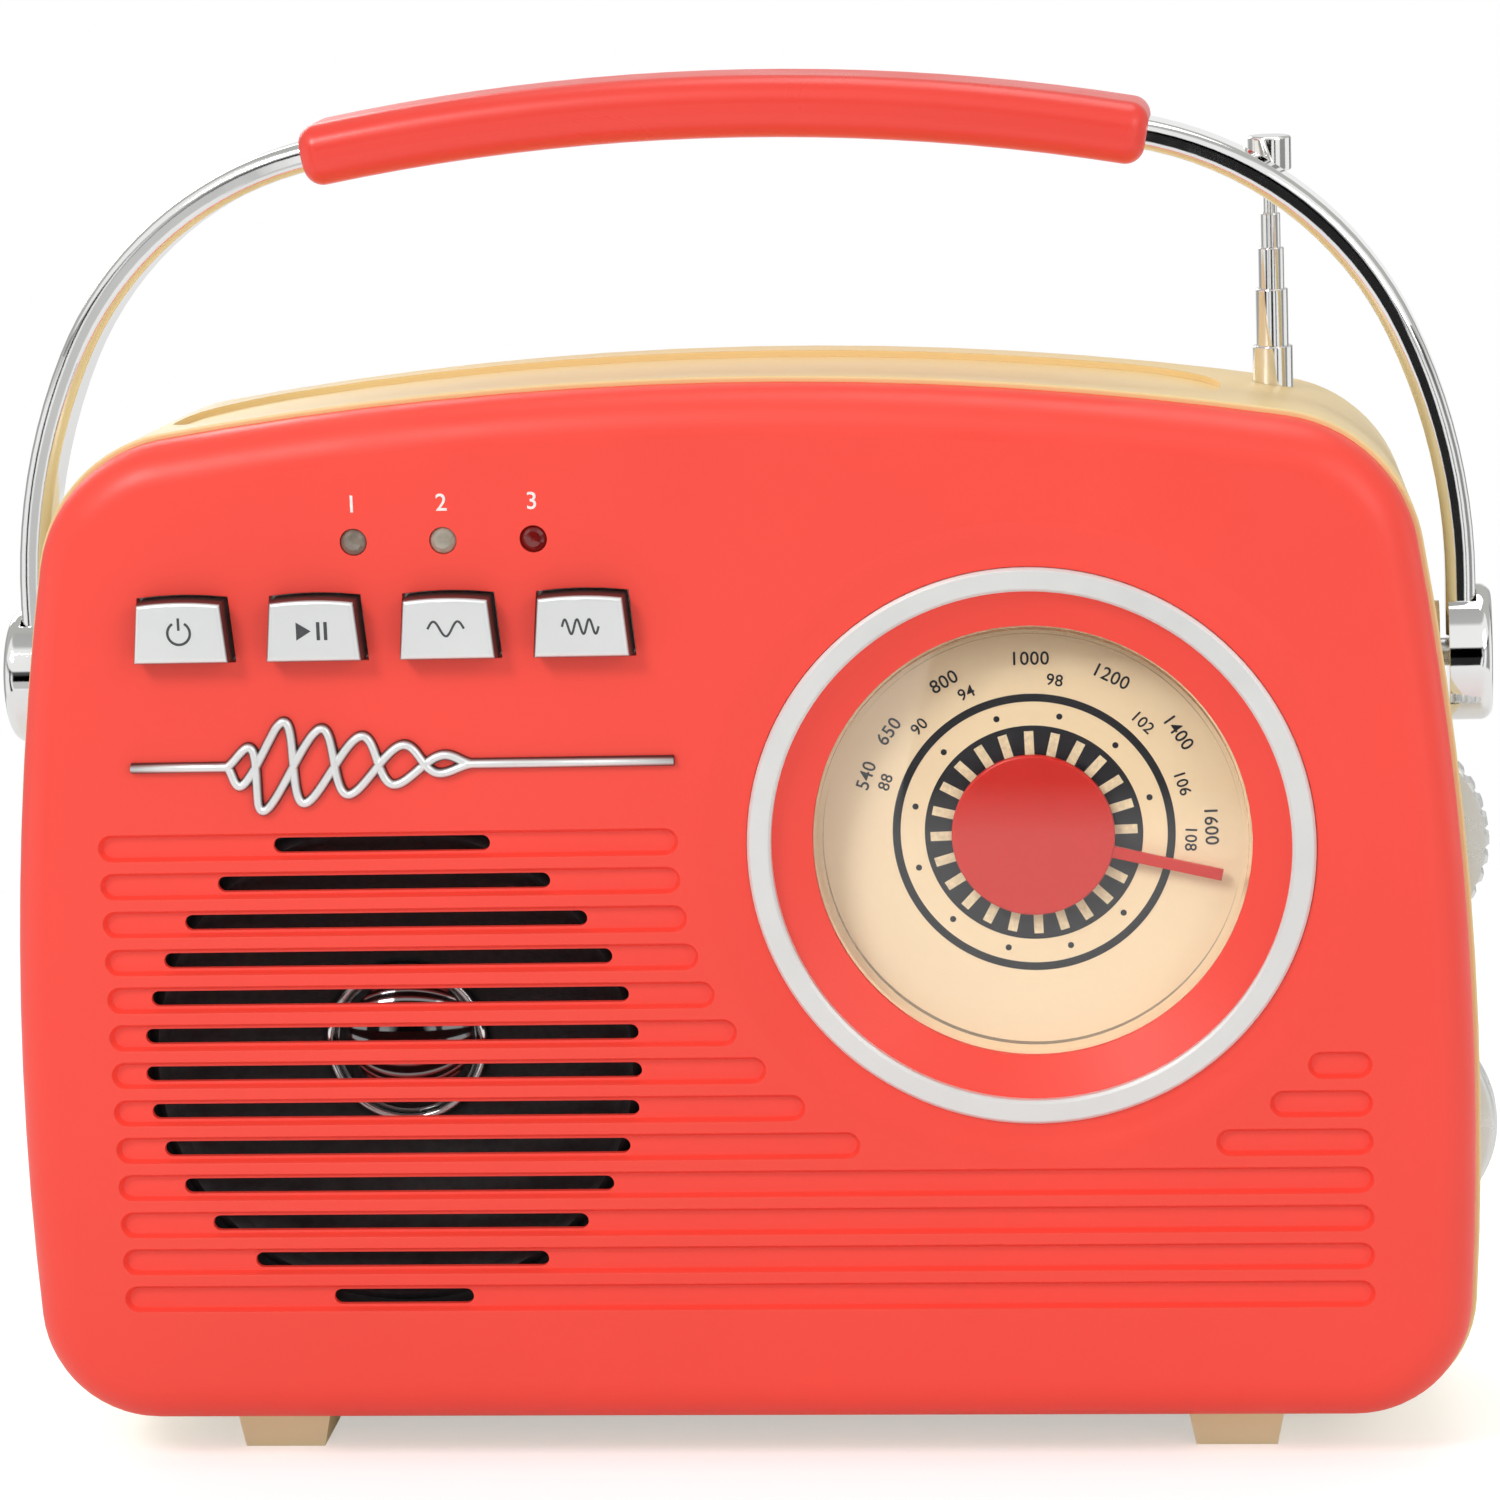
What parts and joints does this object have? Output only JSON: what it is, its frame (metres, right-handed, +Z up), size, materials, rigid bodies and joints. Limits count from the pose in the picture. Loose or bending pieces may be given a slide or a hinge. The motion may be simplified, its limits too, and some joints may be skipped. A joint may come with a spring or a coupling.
{
  "type": "portable transistor radio",
  "caption": "Portable radio with rounded two-part case, grooved speaker front, round tuning dial, key buttons, swing handle and pull-out aerial.",
  "frame": {"origin": "centre of the footprint at the level of the feet", "axes": "+X to the right seen from the front, +Y to the back, +Z up"},
  "size_m": [0.2688, 0.0826, 0.2467],
  "materials": {
    "red_case": "satin soft-touch",
    "cream_case": "satin",
    "cream_feet": "satin",
    "silver_ring": "satin silver",
    "clear_lens": "clear gloss",
    "dial_print": "printed",
    "dark_plastic": "moulded",
    "pointer_red": "gloss",
    "steel": "plated",
    "chrome": "mirror",
    "silver_button": "satin silver",
    "silver_wheel": "silver",
    "cord": "twisted cord",
    "board_green": "solder-masked laminate",
    "black_parts": "moulded",
    "ferrite": "fired ceramic",
    "copper": "enamelled wire",
    "foam": "foam",
    "paper_cone": "pressed paper",
    "grip_red": "soft gloss",
    "cell_jacket": "printed jacket, plain",
    "lamp_grey": "clear",
    "lamp_clear": "clear",
    "lamp_red": "tinted"
  },
  "bodies": {
    "case": {"front_shell": "red_case", "rear_shell": "cream_case", "feet": "cream_feet", "dial_ring": "silver_ring", "dial_lens": "clear_lens", "dial_plate": "dial_print", "dial_carrier": "dark_plastic", "dial_screws": "steel", "drive_cord": "cord", "tuning_capacitor": "dark_plastic", "volume_control": "dark_plastic", "trim_scroll": "chrome", "control_board": "board_green", "control_board_screws": "steel", "switches": "black_parts", "main_board": "board_green", "main_board_screws": "steel", "board_parts": "black_parts", "ferrite_rod": "ferrite", "ferrite_coil": "copper", "rod_clips": "dark_plastic", "speaker_gasket": "foam", "speaker_basket": "steel", "speaker_cone": "paper_cone", "speaker_dust_cap": "chrome", "speaker_voice_coil": "copper", "speaker_magnet": "ferrite", "speaker_screws": "steel", "case_screws": "steel", "aerial_section_1": "chrome", "batteries": "cell_jacket", "battery_contacts": "steel", "audio_jack": "black_parts", "power_jack": "black_parts", "lamp_1": "lamp_grey", "lamp_2": "lamp_clear", "lamp_3": "lamp_red"},
    "handle": {"handle_strap": "chrome", "handle_grip": "grip_red", "handle_hub_left": "chrome", "handle_hub_right": "chrome", "handle_bolt_left": "steel", "handle_bolt_right": "steel"},
    "pointer": {"pointer": "pointer_red", "pointer_shaft": "steel", "pointer_pulley": "dark_plastic"},
    "tuning": {"tuning_wheel": "silver_wheel", "tuning_shaft": "steel"},
    "volume": {"volume_wheel": "silver_wheel", "volume_shaft": "steel"},
    "door": {"battery_door": "cream_case"},
    "aerial_2": {"aerial_section_2": "chrome"},
    "aerial_3": {"aerial_section_3": "chrome"},
    "aerial_4": {"aerial_section_4": "chrome"},
    "aerial_5": {"aerial_section_5": "chrome", "aerial_cap": "chrome"},
    "button_1": {"button_1": "silver_button"},
    "button_2": {"button_2": "silver_button"},
    "button_3": {"button_3": "silver_button"},
    "button_4": {"button_4": "silver_button"}
  },
  "joints": [
    {"name": "handle_swing", "type": "hinge", "parent": "case", "child": "handle", "pos_m": [0, 0.00275, 0.14], "axis": [1, 0, 0], "range_deg": [-3, 45]},
    {"name": "tuning_turn", "type": "hinge", "parent": "case", "child": "tuning", "pos_m": [0.1133, -0.01075, 0.1089], "axis": [0, -1, 0], "range_deg": [-8, 344]},
    {"name": "pointer_turn", "type": "hinge", "parent": "case", "child": "pointer", "pos_m": [0.0532, -0.02275, 0.1135], "axis": [0, -1, 0], "range_deg": [-4, 172]},
    {"name": "volume_turn", "type": "hinge", "parent": "case", "child": "volume", "pos_m": [0.1143, -0.01075, 0.057], "axis": [0, -1, 0], "range_deg": [-140, 140]},
    {"name": "battery_door_hinge", "type": "hinge", "parent": "case", "child": "door", "pos_m": [0.047, 0.04005, 0.0242], "axis": [-1, 0, 0], "range_deg": [0, 100]},
    {"name": "aerial_slide_1", "type": "slide", "parent": "case", "child": "aerial_2", "axis": [0, 0, 1], "range_m": [-0.009, 0.07]},
    {"name": "aerial_slide_2", "type": "slide", "parent": "aerial_2", "child": "aerial_3", "axis": [0, 0, 1], "range_m": [-0.0064, 0.062]},
    {"name": "aerial_slide_3", "type": "slide", "parent": "aerial_3", "child": "aerial_4", "axis": [0, 0, 1], "range_m": [-0.0052, 0.055]},
    {"name": "aerial_slide_4", "type": "slide", "parent": "aerial_4", "child": "aerial_5", "axis": [0, 0, 1], "range_m": [-0.0066, 0.05]},
    {"name": "button_1_press", "type": "slide", "parent": "case", "child": "button_1", "axis": [0, 1, 0], "range_m": [0, 0.0015], "stiffness_N_per_m": 400, "springref_m": -0.0015},
    {"name": "button_2_press", "type": "slide", "parent": "case", "child": "button_2", "axis": [0, 1, 0], "range_m": [0, 0.0015], "stiffness_N_per_m": 400, "springref_m": -0.0015},
    {"name": "button_3_press", "type": "slide", "parent": "case", "child": "button_3", "axis": [0, 1, 0], "range_m": [0, 0.0015], "stiffness_N_per_m": 400, "springref_m": -0.0015},
    {"name": "button_4_press", "type": "slide", "parent": "case", "child": "button_4", "axis": [0, 1, 0], "range_m": [0, 0.0015], "stiffness_N_per_m": 400, "springref_m": -0.0015}
  ],
  "couplings": [
    {"joint": "pointer_turn", "follows": "tuning_turn", "ratio": 0.5}
  ]
}
